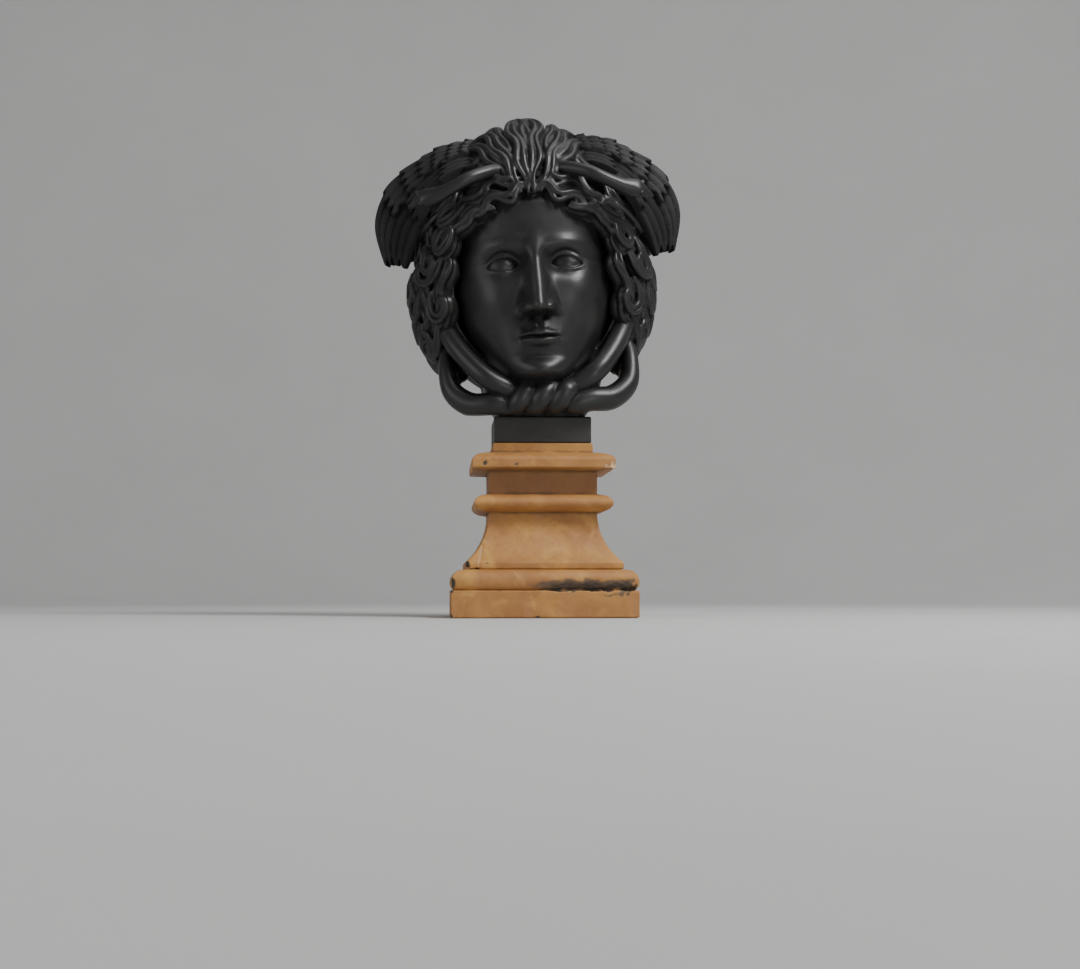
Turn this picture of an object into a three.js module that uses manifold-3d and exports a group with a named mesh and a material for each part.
// A winged gorgon mask carved in black marble, standing on a plain neck block,
// a moulded ochre marble socle and its plinth.
// Millimetres, +Z up. The face looks along -Y, and the origin is the centre of the plinth's underside.
import * as THREE from 'three';
import { mergeVertices } from 'three/addons/utils/BufferGeometryUtils.js';
import Module from 'manifold-3d';

const wasm = await Module();
wasm.setup();

// Driving dimensions of the stand
const PLINTH_WIDTH = 242;
const SLAB_HEIGHT = 35;
const TORUS_HEIGHT = 27;
const TORUS_SHOULDER = 16;
const TORUS_UNDERCUT = 6;
const FOOT_WIDTH = 205;
const FOOT_HEIGHT = 9;
const FLARE_HEIGHT = 66;
const DADO_WIDTH = 142;
const DADO_HEIGHT = 31;
const ROLL_HEIGHT = 23.5;
const ROLL_REACH = 20;
const CORNICE_HEIGHT = 24;
const CORNICE_REACH = 23;
const TOP_FILLET_HEIGHT = 13;
const TOP_FILLET_MARGIN = 2;
const NECK_BLOCK_WIDTH = 128;
const NECK_BLOCK_DEPTH = 128;
const NECK_BLOCK_HEIGHT = 35;
const BED_GAP = 0.3;

// The mask is a free form: every length in it is a share of its height, written for a mask of 400
const MASK_HEIGHT = 413;
const UNIT = MASK_HEIGHT / 400;
const SEAT_MARGIN = 7;
const MASK_LEAN = 3.6;

// Steps of the faceted surfaces
const MOULDING_STEPS = 6;
const FACE_COLUMNS = 17;
const HAIR_SECTORS = 14;
const HAIR_RINGS = 4;
const LOCK_RINGS = 8;
const BACK_LOCK_RINGS = 5;
const TAIL_RINGS = 21;
const NECK_RINGS = 9;

// Corners of swept sections, in degrees round from the flank. The one at 270 is bedded in the mass.
const LOCK_SECTION = [14, 90, 166, 270];
const ROUND_SECTION = [0, 60, 120, 180, 240, 300];

const degrees = THREE.MathUtils.degToRad;
const mix = THREE.MathUtils.lerp;
const point = (x, y, z) => new THREE.Vector3(x, y, z);
const bell = (x, centre, width) => Math.exp(-(((x - centre) / width) ** 2));
const ramp = (x, low, high) => THREE.MathUtils.smoothstep(x, low, high);

// Solids and joins

function solidOf(geometry) {
  const bare = geometry.index ? geometry.toNonIndexed() : geometry.clone();
  const positions = new THREE.BufferGeometry().setAttribute('position', bare.getAttribute('position'));
  const merged = mergeVertices(positions, 1e-4);
  return new wasm.Manifold(new wasm.Mesh({
    numProp: 3,
    vertProperties: new Float32Array(merged.attributes.position.array),
    triVerts: new Uint32Array(merged.index.array),
  }));
}

function geometryOf(solid) {
  const mesh = solid.getMesh();
  const count = mesh.vertProperties.length / mesh.numProp;
  const positions = new Float32Array(count * 3);
  for (let i = 0; i < count; i++) {
    positions.set(mesh.vertProperties.subarray(i * mesh.numProp, i * mesh.numProp + 3), i * 3);
  }
  const geometry = new THREE.BufferGeometry();
  geometry.setAttribute('position', new THREE.BufferAttribute(positions, 3));
  geometry.setIndex(new THREE.BufferAttribute(new Uint32Array(mesh.triVerts), 1));
  return geometry;
}

// A closed skin over rings of equally many points. Open rows of rings get a fan over each end.
function skin(rings, endless = false) {
  const around = rings[0].length;
  const vertices = rings.flat();
  const faces = [];
  const rows = endless ? rings.length : rings.length - 1;
  for (let row = 0; row < rows; row++) {
    const next = (row + 1) % rings.length;
    for (let i = 0; i < around; i++) {
      const j = (i + 1) % around;
      const [a, b, c, d] = [row * around + i, row * around + j, next * around + j, next * around + i];
      faces.push([a, b, c], [a, c, d]);
    }
  }
  if (!endless) {
    for (const row of [0, rings.length - 1]) {
      const middle = vertices.length;
      vertices.push(rings[row].reduce((sum, p) => sum.add(p), point(0, 0, 0)).divideScalar(around));
      for (let i = 0; i < around; i++) {
        const [a, b] = [row * around + i, row * around + (i + 1) % around];
        faces.push(row === 0 ? [middle, b, a] : [middle, a, b]);
      }
    }
  }
  const outward = signedVolume(vertices, faces) > 0;
  const corners = faces.flatMap(([a, b, c]) => (outward ? [a, b, c] : [a, c, b]));
  const geometry = new THREE.BufferGeometry();
  geometry.setAttribute('position',
    new THREE.Float32BufferAttribute(corners.flatMap((k) => vertices[k].toArray()), 3));
  return geometry;
}

function signedVolume(vertices, faces) {
  return faces.reduce((sum, [a, b, c]) => sum
    + vertices[a].dot(vertices[b].clone().cross(vertices[c])) / 6, 0);
}

// Everything but the neck leans, turned about the middle of the seat, so the crown goes to -X
function leaningSolid(geometry) {
  return solidOf(geometry.rotateY(-degrees(MASK_LEAN)));
}

// A closed tube: at each station a flattened ring whose outer side faces the station's normal
function sweep(stations, section) {
  const rings = stations.map((station, k) => {
    const before = stations[Math.max(0, k - 1)].at;
    const after = stations[Math.min(stations.length - 1, k + 1)].at;
    const along = after.clone().sub(before).normalize();
    const across = along.clone().cross(station.normal).normalize();
    const out = across.clone().cross(along).normalize();
    return section.map(degrees).map((turn) => station.at.clone()
      .addScaledVector(across, station.width * Math.cos(turn))
      .addScaledVector(out, station.thick * Math.sin(turn)));
  });
  return leaningSolid(skin(rings));
}

// The largest closed body of a solid, with the small pockets that its pieces enclose filled
function outerShell(solid) {
  return solid.decompose().reduce((best, body) => (body.volume() > best.volume() ? body : best));
}

function curveThrough(points) {
  return new THREE.CatmullRomCurve3(points.map(([x, y, z]) => point(x, y, z)), false, 'centripetal');
}

const mirrored = (stations) => stations.map((station) => ({
  ...station,
  at: point(-station.at.x, station.at.y, station.at.z),
  normal: point(-station.normal.x, station.normal.y, station.normal.z),
}));

// The square stand: a profile of half widths and heights, carried round four mitred sides

function squareTurned(profile) {
  const points = profile.map(([half, height]) => new THREE.Vector2(half * Math.SQRT2, height));
  return new THREE.LatheGeometry(points, 4).rotateY(Math.PI / 4).rotateX(Math.PI / 2);
}

// A quarter of an ellipse from one profile point to another, leaving the first one level or upright
function quarter([x0, z0], [x1, z1], leavesLevel) {
  return Array.from({ length: MOULDING_STEPS + 1 }, (_, i) => {
    const turn = (i / MOULDING_STEPS) * (Math.PI / 2);
    const [level, upright] = [Math.sin(turn), 1 - Math.cos(turn)];
    return leavesLevel
      ? [mix(x0, x1, level), mix(z0, z1, upright)]
      : [mix(x0, x1, upright), mix(z0, z1, level)];
  });
}

function plinthProfile() {
  const half = PLINTH_WIDTH / 2;
  const top = SLAB_HEIGHT + TORUS_HEIGHT;
  const widest = SLAB_HEIGHT + TORUS_HEIGHT * 0.42;
  return [
    [0, 0],
    [half, 0],
    [half, SLAB_HEIGHT],
    ...quarter([half - TORUS_UNDERCUT, SLAB_HEIGHT], [half, widest], true),
    ...quarter([half, widest], [half - TORUS_SHOULDER, top], false).slice(1),
    [0, top],
  ];
}

function socleProfile() {
  const foot = FOOT_WIDTH / 2;
  const dado = DADO_WIDTH / 2;
  const flareTop = FOOT_HEIGHT + FLARE_HEIGHT;
  const flareTurn = 2 * Math.atan((foot - dado) / FLARE_HEIGHT);
  const flareRadius = FLARE_HEIGHT / Math.sin(flareTurn);
  const flare = Array.from({ length: MOULDING_STEPS + 1 }, (_, i) => {
    const turn = flareTurn * (1 - i / MOULDING_STEPS);
    return [dado + flareRadius * (1 - Math.cos(turn)), flareTop - flareRadius * Math.sin(turn)];
  });
  const rollMiddle = flareTop + ROLL_HEIGHT / 2;
  const rollTop = flareTop + ROLL_HEIGHT;
  const dadoTop = rollTop + DADO_HEIGHT;
  const lip = dado + CORNICE_REACH;
  const lipLow = dadoTop + CORNICE_HEIGHT * 0.1;
  const lipHigh = dadoTop + CORNICE_HEIGHT * 0.55;
  const corniceTop = dadoTop + CORNICE_HEIGHT;
  const fillet = NECK_BLOCK_WIDTH / 2 + TOP_FILLET_MARGIN;
  return [
    [0, 0],
    [foot, 0],
    ...flare,
    ...quarter([dado, flareTop], [dado + ROLL_REACH, rollMiddle], true).slice(1),
    ...quarter([dado + ROLL_REACH, rollMiddle], [dado, rollTop], false).slice(1),
    [dado, dadoTop],
    [lip, lipLow],
    ...quarter([lip, lipHigh], [fillet, corniceTop], false),
    [fillet, corniceTop + TOP_FILLET_HEIGHT],
    [0, corniceTop + TOP_FILLET_HEIGHT],
  ];
}

const PLINTH_TOP = SLAB_HEIGHT + TORUS_HEIGHT;
const SOCLE_FLOOR = PLINTH_TOP + BED_GAP;
const SOCLE_HEIGHT = FOOT_HEIGHT + FLARE_HEIGHT + ROLL_HEIGHT + DADO_HEIGHT
  + CORNICE_HEIGHT + TOP_FILLET_HEIGHT;
const BLOCK_FLOOR = SOCLE_FLOOR + SOCLE_HEIGHT + BED_GAP;
const MASK_FLOOR = BLOCK_FLOOR + NECK_BLOCK_HEIGHT + BED_GAP;

// The head: an ellipsoid of hair round an oval face. Clock angles run from the crown to the right,
// and depth angles from the middle of the face to the silhouette at 90 degrees.
const HEAD = { x: 132, y: 122, z: 182, middleY: 10, middleZ: 204 };
const BACK = 58;
const FULLNESS = { clock: 120, width: 42, most: 0.16 };
const FACE_OVAL = { x: 104, z: 138, middleZ: 169 };
const PARTING = { height: 72, fall: 0.42 };
const CHIN = 36;
const BACK_ANGLE = THREE.MathUtils.radToDeg(Math.acos(-(BACK - HEAD.middleY) / HEAD.y));

// The depth angle of the hair's edge at a clock angle. A ray from the head's middle is followed to the
// face oval, or to the two lines that fall from the parting to the temples, whichever it meets first.
function hairline(clock) {
  const [across, up] = [Math.abs(Math.sin(degrees(clock))), Math.cos(degrees(clock))];
  const [ovalX, ovalZ] = [FACE_OVAL.x / HEAD.x, FACE_OVAL.z / HEAD.z];
  const drop = (HEAD.middleZ - FACE_OVAL.middleZ) / HEAD.z;
  const a = (across / ovalX) ** 2 + (up / ovalZ) ** 2;
  const b = (2 * up * drop) / ovalZ ** 2;
  const c = (drop / ovalZ) ** 2 - 1;
  const toOval = (-b + Math.sqrt(b * b - 4 * a * c)) / (2 * a);
  const slope = HEAD.z * up + PARTING.fall * HEAD.x * across;
  const toParting = slope > 1 ? PARTING.height / slope : Infinity;
  return THREE.MathUtils.radToDeg(Math.asin(Math.min(0.86, toOval, toParting)));
}

function onHead(clock, depth, lift = 0) {
  const [turn, tilt] = [degrees(clock), degrees(depth)];
  const out = Math.sin(tilt);
  const fromCrown = Math.abs(((((clock + 180) % 360) + 360) % 360) - 180);
  const full = 1 + FULLNESS.most * bell(fromCrown, FULLNESS.clock, FULLNESS.width) * ramp(depth, 50, 85);
  return point(
    (HEAD.x * full + lift) * out * Math.sin(turn),
    HEAD.middleY - (HEAD.y + lift) * Math.cos(tilt),
    HEAD.middleZ + (HEAD.z + lift) * out * Math.cos(turn),
  );
}

function headNormal(p) {
  const [y, z] = [p.y - HEAD.middleY, p.z - HEAD.middleZ];
  return point(p.x / HEAD.x ** 2, y / HEAD.y ** 2, z / HEAD.z ** 2).normalize();
}

function hairMass() {
  const rings = Array.from({ length: HAIR_SECTORS }, (_, i) => {
    const clock = (i / HAIR_SECTORS) * 360;
    const inner = hairline(clock);
    const front = Array.from({ length: HAIR_RINGS },
      (_, k) => onHead(clock, mix(inner, BACK_ANGLE, k / (HAIR_RINGS - 1))));
    return [point(front[0].x, BACK, front[0].z), ...front];
  });
  return leaningSolid(skin(rings, true));
}

// The face's features are written for a face of size 1, whose eyes are 37 from the middle.
// Levels of its rings above the chin are closer together at the lips, the nostrils and the eyes.
const FACE_SIZE = 1.12;
const BROW = 157;
const EYE = { x: 37, z: 139 };
const FACE_LEVELS = [-9.5, 2, 12, 22, 31, 38, 43, 48, 52, 56, 60, 66, 74, 80, 86, 94, 106, 122, 133, 139, 145,
  152, 160, 172, 190, 212, 230, 248];
const FACE_SIDE = 24;

// Half the width of the face at a height above the chin
function faceHalfWidth(v) {
  const [middle, below, above] = [128, 138, 172];
  const share = v < middle ? 1 - ((middle - v) / below) ** 2 : 1 - ((v - middle) / above) ** 2.2;
  return (FACE_OVAL.x / FACE_SIZE) * Math.max(share, 0) ** (v < middle ? 0.6 : 0.5);
}

// How far the skin of the face stands forward, at x and at a height v above the chin
function faceDepth(x, v) {
  const s = Math.min(1, Math.abs(x) / faceHalfWidth(v));
  const middle = 100
    + 4 * ramp(v, 120, 215)
    - 42 * ramp(v, 205, 262)
    + 5 * bell(v, 18, 20)
    - 46 * ramp(-v, -16, 12);
  let d = FACE_SIDE + (middle - FACE_SIDE) * (1 - s ** 2.5) ** 0.6;
  const ax = Math.abs(x);
  d += 5 * bell(ax, 54, 24) * bell(v, 104, 26);
  d -= 15 * bell(ax, 31, 19) * bell(v, EYE.z + 1, 12);
  d += 12 * bell(ax, EYE.x, 13) * bell(v, EYE.z - 1, 7.5);
  d += 4.5 * bell(v, BROW + 3.4 * Math.sin(ax / 26), 5) * bell(ax, 36, 30);
  const bridge = ramp(-v, -168, -82) * ramp(v, 77, 84);
  d += (5 + 23 * bridge) * bell(x, 0, 7.5 + 3 * bridge) * ramp(-v, -182, -150) * ramp(v, 76, 84);
  d += 11 * bell(ax, 13.5, 6.5) * bell(v, 86, 7.5);
  d += 9.5 * bell(x, 0, 21) * bell(v, 62, 6);
  d += 10 * bell(x, 0, 17) * bell(v, 46, 6);
  d -= 9 * bell(x, 0, 24) * bell(v, 54.5, 3);
  d -= 5 * bell(x, 0, 24) * bell(v, 33, 6);
  d += 7 * bell(x, 0, 22) * bell(v, 16, 13);
  return d;
}

function faceSolid() {
  const rings = FACE_LEVELS.map((v) => {
    const half = faceHalfWidth(v);
    const height = v * FACE_SIZE + CHIN;
    const skinPoints = Array.from({ length: FACE_COLUMNS }, (_, column) => {
      const share = mix(-1, 1, column / (FACE_COLUMNS - 1));
      const x = half * share * mix(0.7, 1, share * share);
      const depth = FACE_SIDE + (faceDepth(x, v) - FACE_SIDE) * mix(1, FACE_SIZE, 0.5);
      return point(x * FACE_SIZE, -depth, height);
    });
    return [...skinPoints, point(half * FACE_SIZE, BACK, height), point(-half * FACE_SIZE, BACK, height)];
  });
  return leaningSolid(skin(rings));
}

// The plain mass behind the chin, which carries the mask on its block and widens towards the jaw.
// Each pair is a height and how much wider than the seat the neck is there, on either side.
const NECK_WIDENING = [[0, 0], [26, 18], [64, 26], [104, 48]];

function neckStub() {
  const half = (NECK_BLOCK_WIDTH / 2 - SEAT_MARGIN) / UNIT;
  const front = -(NECK_BLOCK_DEPTH / 2 - SEAT_MARGIN) / UNIT;
  const rings = NECK_WIDENING.map(([z, more]) => {
    const side = half + more;
    return [point(-side, front, z), point(side, front, z), point(side, BACK, z), point(-side, BACK, z)];
  });
  return solidOf(skin(rings));
}

// A lock of hair walks over the head in small steps from a clock angle and a row, where row 0 is the
// hairline and row 1 the flat back. Heading 0 runs round the face, away from the crown, and 90 outwards.
// The lock waves as it goes, and winds up into a curl over its last stretch.
function lockStations({ clock, row, heading, bend, length, width, curl, lift, phase, wave, rings }) {
  const [steps, waveLength, curlFrom] = [120, 48, 0.66];
  const stride = length / steps;
  const stations = [];
  for (let k = 0; k <= steps; k++) {
    const share = k / steps;
    const inner = hairline(clock);
    const depth = mix(inner, BACK_ANGLE, Math.min(row, 1));
    if (k === Math.round(steps * (1 - (1 - stations.length / (rings - 1)) ** 1.25))) {
      const swell = Math.min(1, 0.55 + 3 * share) * (1 - 0.6 * share ** 4);
      const at = onHead(clock, depth, lift + width * 0.22 + 3 * Math.sin(share * Math.PI));
      stations.push({ at, normal: headNormal(at), width: (width / 2) * swell, thick: width * 0.52 * swell });
    }
    const wound = Math.max(0, (share - curlFrom) / (1 - curlFrom)) ** 1.3;
    const aim = degrees(heading + bend * share + curl * wound
      + wave * (1 - 0.7 * wound) * Math.sin((2 * Math.PI * share * length) / waveLength + phase));
    clock += (Math.cos(aim) * stride) / (2.57 * Math.sin(degrees(Math.max(depth, 30))));
    row += (Math.sin(aim) * stride) / (2.4 * (BACK_ANGLE - inner));
  }
  return stations;
}

// The locks of one side: clock, row, heading, bend, length, width, curl and lift of each
const FACE_LOCKS = [
  [0, 0.02, 4, 4, 124, 24, 290, 2],
  [46, 0.03, 0, 6, 109, 24, -290, 2],
  [88, 0.04, 2, 4, 104, 23, 290, 2],
  [8, 0.14, 8, 0, 128, 26, -290, 2],
  [52, 0.17, 2, 4, 112, 24, 290, 1],
  [92, 0.2, 2, 4, 108, 24, -290, 1],
  [14, 0.27, 10, -4, 122, 26, 290, 3],
  [46, 0.33, 2, 2, 116, 25, -290, 1],
  [86, 0.36, 2, 2, 112, 25, 290, 0],
];
const BACK_LOCKS = [
  [18, 0.42, 16, -12, 118, 28, -290, 2],
  [52, 0.52, 0, 0, 104, 27, 200, 0],
  [88, 0.54, 2, 0, 108, 27, -200, 0],
  [56, 0.72, 0, 0, 100, 29, -200, -2],
  [90, 0.74, 0, -2, 104, 29, 200, -2],
  [90, 0.95, 0, 0, 96, 30, -120, -5],
  [-3, 0.8, 26, -20, 112, 31, 200, -3],
];
const RISING_LOCKS = [
  [4, 0, 88, -6, 150, 21, 200, 9],
  [12, 0.02, 84, -10, 146, 21, -200, 8],
  [21, 0.06, 80, -14, 134, 22, 200, 7],
];

// The phase grows with the place that a lock starts from, so that neighbouring waves fall in step
function hairLocks() {
  const placed = (wave, rings) => ([clock, row, heading, bend, length, width, curl, lift]) => (
    { clock, row, heading, bend, length, width, curl, lift, wave, rings, phase: 0.26 * clock + 5 * row });
  const settings = [...FACE_LOCKS.map(placed(42, LOCK_RINGS)), ...BACK_LOCKS.map(placed(30, BACK_LOCK_RINGS)),
    ...RISING_LOCKS.map(placed(16, BACK_LOCK_RINGS))];
  return settings.flatMap((setting) => {
    const opposite = { ...setting, phase: setting.phase + 0.8, length: setting.length - 4 };
    return [lockStations(setting), mirrored(lockStations(opposite))];
  }).map((stations) => sweep(stations, LOCK_SECTION));
}

// The wings: plates that arch out from the crown and down, between an outer and an inner edge, with
// rows of feathers that run along the arch. Lane 0 is the outer edge and lane 1 the inner one.
const OUTER_EDGE = curveThrough([[30, -20, 342], [62, -34, 364], [102, -40, 362], [146, -34, 345],
  [184, -26, 318], [203, -18, 274], [190, -12, 210]]);
const INNER_EDGE = curveThrough([[50, -62, 322], [84, -76, 320], [112, -74, 304], [134, -62, 276],
  [150, -46, 246], [160, -30, 216], [166, -18, 186]]);
const WING_THICKNESS = 12;
const LANES = 4;
const FEATHER_ROWS = [
  { from: 0, to: 0.17, base: 9, steps: 1 },
  { from: 0.17, to: 0.34, base: 6, steps: 1 },
  { from: 0.34, to: 0.52, base: 3, steps: 1 },
  { from: 0.52, to: 1, base: 0, steps: 5 },
];

// Points go out from the plate's middle surface by a distance along its normal
function onWing(along, lane, out = 0) {
  const surface = (a, l) => OUTER_EDGE.getPoint(a).lerp(INNER_EDGE.getPoint(a), l);
  const [ahead, back] = [Math.min(1, along + 0.02), Math.max(0, along - 0.02)];
  const forward = surface(ahead, lane).sub(surface(back, lane));
  const inward = surface(along, 1).sub(surface(along, 0));
  return surface(along, lane).addScaledVector(inward.cross(forward).normalize(), out);
}

// 1 on the shaft of a feather and 0 between two; the feathers of every other row are half a lane over
function shaft(lane, row) {
  const across = lane * LANES + (row % 2) * 0.5;
  return 1 - (2 * (across - Math.floor(across)) - 1) ** 2;
}

function wingSolid(side) {
  const rings = FEATHER_ROWS.flatMap(({ from, to, base, steps }, row) => (
    Array.from({ length: steps + 1 }, (_, k) => {
      const share = k / steps;
      const last = row === FEATHER_ROWS.length - 1;
      const notch = (lane) => (last ? 0.1 * lane + 0.07 * (1 - shaft(lane, row)) : 0.02);
      const along = (lane) => mix(from, to - notch(lane) * share, mix(0.02, 1, share));
      const front = Array.from({ length: 2 * LANES + 1 }, (_, i) => {
        const lane = i / (2 * LANES);
        return onWing(along(lane), lane, base + 3.5 * share + 4 * shaft(lane, row) * (0.4 + 0.6 * share));
      });
      return [...front, onWing(along(1), 0.92, -WING_THICKNESS), onWing(along(0), 0.08, -WING_THICKNESS)];
    })));
  return leaningSolid(skin(rings.map((ring) => ring.map((p) => point(side * p.x, p.y, p.z)))));
}

// The snakes: a tail of each runs down the jaw, twists round the other under the chin and loops up
// on the far side. Its neck comes out of the hair over the brow, and its head lies below the wing.
const TWIST = { half: 40, y: -78, z: 23, radius: 11, halfTurns: 3 };

function tailPoints(side) {
  const twist = Array.from({ length: 9 }, (_, k) => {
    const share = k / 8;
    const turn = degrees(90) + degrees(180) * TWIST.halfTurns * share;
    return [mix(TWIST.half, -TWIST.half, share),
      TWIST.y + TWIST.radius * Math.cos(turn), TWIST.z + TWIST.radius * Math.sin(turn)];
  });
  const points = [[124, -14, 146], [113, -44, 112], [93, -66, 78], [68, -82, 50], ...twist,
    [-62, -76, 17], [-90, -66, 19], [-113, -56, 37], [-120, -46, 66], [-118, -30, 102]];
  if (side > 0) return points;
  // The left snake is the right one turned half round the vertical line through the twist
  return points.map(([x, y, z]) => [-x, Math.abs(x) <= TWIST.half ? 2 * TWIST.y - y : y, z]);
}

function tailSolid(side) {
  const curve = curveThrough(tailPoints(side));
  return sweep(Array.from({ length: TAIL_RINGS }, (_, k) => {
    const share = k / (TAIL_RINGS - 1);
    const thick = mix(13.5, 9.5, ramp(share, 0.85, 1)) + 2.5 * bell(share, 0.8, 0.08);
    return { at: curve.getPoint(share), normal: point(0, -1, 0.001), width: thick, thick };
  }), ROUND_SECTION);
}

const NECK_PATH = curveThrough([[40, -86, 312], [58, -106, 310], [78, -118, 302], [98, -118, 292],
  [118, -112, 284], [138, -105, 280], [158, -98, 272]]);

function snakeNeck() {
  return Array.from({ length: NECK_RINGS }, (_, k) => {
    const share = k / (NECK_RINGS - 1);
    const at = NECK_PATH.getPoint(share);
    const jaw = bell(share, 0.78, 0.14);
    const body = mix(9.5, 8, ramp(share, 0, 0.6)) * (1 - 0.45 * ramp(share, 0.85, 1));
    return { at, normal: headNormal(at), width: body + 7.5 * jaw, thick: body + 4 * jaw };
  });
}

// The side of the two blocks that trim the flat back and the seat, wider than the mask all round
const CUTTER = 1200;

function maskSolid() {
  const neck = snakeNeck();
  const pieces = [hairMass(), faceSolid(), neckStub(), ...hairLocks(), wingSolid(1), wingSolid(-1),
    tailSolid(1), tailSolid(-1), sweep(neck, ROUND_SECTION), sweep(mirrored(neck), ROUND_SECTION)];
  const joined = pieces.reduce((sum, piece) => sum.add(piece));
  const behind = new THREE.BoxGeometry(CUTTER, CUTTER, CUTTER).translate(0, BACK + CUTTER / 2, 0);
  const below = new THREE.BoxGeometry(CUTTER, CUTTER, CUTTER).translate(0, 0, -CUTTER / 2);
  return outerShell(joined.subtract(solidOf(behind)).subtract(solidOf(below)));
}

// Finishes

const blackMarble = new THREE.MeshStandardMaterial({ color: 0x242322, roughness: 0.38, metalness: 0 });
const honedBlack = new THREE.MeshStandardMaterial({ color: 0x33312f, roughness: 0.55, metalness: 0 });
const ochreMarble = new THREE.MeshStandardMaterial({ color: 0xb8894f, roughness: 0.6, metalness: 0 });

function named(name, geometry, material, floor) {
  const mesh = new THREE.Mesh(geometry, material);
  mesh.name = name;
  mesh.position.z = floor;
  return mesh;
}

const carving = geometryOf(maskSolid());
carving.computeBoundingBox();
const trueScale = MASK_HEIGHT / carving.boundingBox.max.z;
const mask = named('gorgon_mask', carving.scale(trueScale, trueScale, trueScale), blackMarble, MASK_FLOOR);
const blockBox = new THREE.BoxGeometry(NECK_BLOCK_WIDTH, NECK_BLOCK_DEPTH, NECK_BLOCK_HEIGHT)
  .translate(0, 0, NECK_BLOCK_HEIGHT / 2);
const block = named('neck_block', blockBox, honedBlack, BLOCK_FLOOR);
const socle = named('socle', squareTurned(socleProfile()), ochreMarble, SOCLE_FLOOR);
const plinth = named('plinth', squareTurned(plinthProfile()), ochreMarble, 0);

const part = new THREE.Group();
part.add(mask, block, socle, plinth);

export default part;
